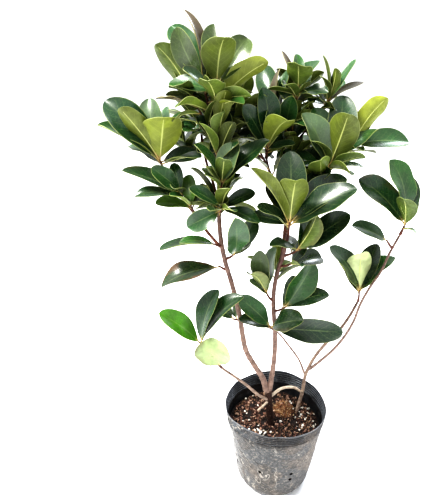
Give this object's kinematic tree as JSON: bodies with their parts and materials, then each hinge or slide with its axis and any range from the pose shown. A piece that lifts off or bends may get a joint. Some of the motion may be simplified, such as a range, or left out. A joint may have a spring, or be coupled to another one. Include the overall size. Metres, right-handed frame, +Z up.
{
  "type": "potted shrub",
  "caption": "Young leathery-leaved evergreen shrub on slender branching stems, planted in loose mix in a soft tapered nursery pot.",
  "frame": {"origin": "centre of the pot's flat underside, on the surface it stands on", "axes": "+Z up along the pot's axis, +X to the right of the side it is seen from, +Y away from that side"},
  "size_m": [0.3328, 0.193, 0.582],
  "materials": {
    "pot_film": "thin dark grey soft film, dusty and scuffed, faint horizontal ribs below the rim",
    "potting_mix": "moist dark potting mix with bark, coir and white grit",
    "bark": "pinkish brown young bark with darker nodes",
    "leaf": "leathery leaf, dark and glossy above, paler yellow-green and dull beneath"
  },
  "bodies": {
    "root": {"pot": "pot_film", "soil": "potting_mix", "trunk": "bark", "left_stem": "bark", "centre_stem": "bark", "centre_back_stem": "bark", "right_crown_stem": "bark", "brown_twig": "bark", "rosette_twig": "bark", "left_side_branch": "bark", "right_stem": "bark", "right_outer_stem": "bark", "cross_twig": "bark", "low_left_twig": "bark", "arching_twig": "bark", "broken_stub": "bark", "left_back_branch": "bark", "centre_back_branch": "bark", "right_back_branch": "bark", "centre_front_shoot": "leaf", "centre_right_shoot": "leaf", "crown_tip_shoot": "leaf", "crown_left_shoot": "leaf", "crown_far_left_shoot": "leaf", "crown_right_shoot": "leaf", "top_centre_shoot": "leaf", "centre_left_shoot": "leaf", "folded_leaf_shoot": "leaf", "top_right_rosette": "leaf", "right_crown_shoot": "leaf", "right_crown_side_shoot": "leaf", "left_rosette": "leaf", "left_middle_shoot": "leaf", "left_behind_shoot": "leaf", "left_low_shoot": "leaf", "left_drooping_leaves": "leaf", "spotted_leaf": "leaf", "left_cluster": "leaf", "left_low_cluster": "leaf", "left_fork_shoot": "leaf", "right_end_shoot": "leaf", "right_end_leaf": "leaf", "right_middle_shoot": "leaf", "low_centre_top_leaves": "leaf", "low_centre_right_leaves": "leaf", "low_centre_left_leaves": "leaf", "low_centre_base_leaves": "leaf", "low_left_tip_leaves": "leaf", "pale_leaf": "leaf", "cross_twig_leaves": "leaf", "back_shoot_top_left": "leaf", "back_shoot_left": "leaf", "back_shoot_inner_left": "leaf", "back_shoot_outer_left": "leaf", "back_shoot_centre": "leaf", "back_shoot_centre_left": "leaf", "back_shoot_top_centre": "leaf", "back_shoot_right": "leaf", "back_shoot_inner_right": "leaf", "back_shoot_low": "leaf"}
  },
  "joints": []
}
